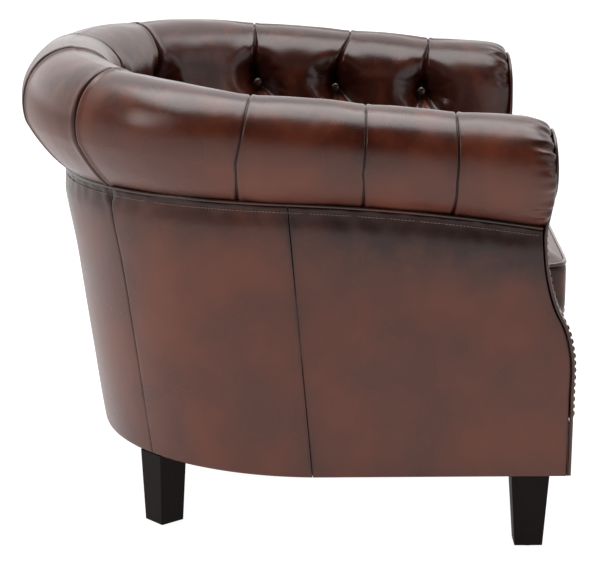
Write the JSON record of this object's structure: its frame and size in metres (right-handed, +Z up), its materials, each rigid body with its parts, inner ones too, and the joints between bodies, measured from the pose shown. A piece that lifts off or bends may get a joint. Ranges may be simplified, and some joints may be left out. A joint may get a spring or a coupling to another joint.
{
  "type": "upholstered tub armchair",
  "caption": "Low rounded tub armchair in buttoned brown leather with a rolled arm-and-back rail, nailed arm fronts, tapered wooden legs and a loose lift-out seat cushion.",
  "frame": {"origin": "floor level, at the centre of the plan outline", "axes": "+Z up, -Y the open front of the seat, +Y the back, X across the seat, +X the sitter's left"},
  "size_m": [0.7464, 0.7907, 0.6788],
  "materials": {
    "leather": "antique hand-rubbed brown leather, satin with worn highlights",
    "leather_dark": "dark brown piping leather",
    "nail_metal": "antique dark bronze, satin",
    "leg_wood": "dark stained hardwood, satin lacquer",
    "frame_wood": "raw beech",
    "foam": "upholstery foam",
    "lining": "woven jute lining",
    "wadding": "polyester wadding",
    "black_cloth": "black non-woven cloth",
    "steel": "zinc-plated steel",
    "glide": "black plastic",
    "zip": "brown zip tape"
  },
  "bodies": {
    "chair": {"front_leg_left": "leg_wood", "front_leg_right": "leg_wood", "rear_leg_left": "leg_wood", "rear_leg_right": "leg_wood", "leg_bolts": "steel", "leg_plates": "steel", "leg_glides": "glide", "base_rail_front": "frame_wood", "base_rail_left": "frame_wood", "base_rail_right": "frame_wood", "base_rail_rear": "frame_wood", "corner_blocks": "frame_wood", "seat_rail_front": "frame_wood", "seat_rail_ring": "frame_wood", "arm_front_boards": "frame_wood", "uprights": "frame_wood", "top_ring": "frame_wood", "outer_lining": "lining", "inner_lining": "lining", "seat_springs": "steel", "spring_clips": "steel", "deck_pad": "wadding", "deck_cloth": "black_cloth", "front_edge_foam": "foam", "dust_cover": "black_cloth", "inside_foam": "foam", "roll_foam": "foam", "facing_pads": "wadding", "inside_cover": "leather", "roll_cover": "leather", "neck_band": "leather", "outside_front_panel_left": "leather", "outside_front_panel_right": "leather", "outside_rear_panel_left": "leather", "outside_rear_panel_right": "leather", "outside_back_panel": "leather", "front_facing_left": "leather", "front_facing_right": "leather", "scroll_facing_left": "leather", "scroll_facing_right": "leather", "front_apron": "leather", "base_band": "leather", "upper_buttons": "leather", "lower_buttons": "leather", "roll_welt": "leather_dark", "facing_welts": "leather_dark", "facing_nails_left": "nail_metal", "facing_nails_right": "nail_metal"},
    "seat_cushion": {"cushion_core": "foam", "cushion_cover": "leather", "cushion_piping_top": "leather_dark", "cushion_piping_bottom": "leather_dark", "zip_tape": "zip", "zip_slider": "steel"}
  },
  "joints": [
    {"name": "cushion_lift", "type": "slide", "parent": "chair", "child": "seat_cushion", "axis": [0, 0, 1], "range_m": [0, 0.4]}
  ]
}
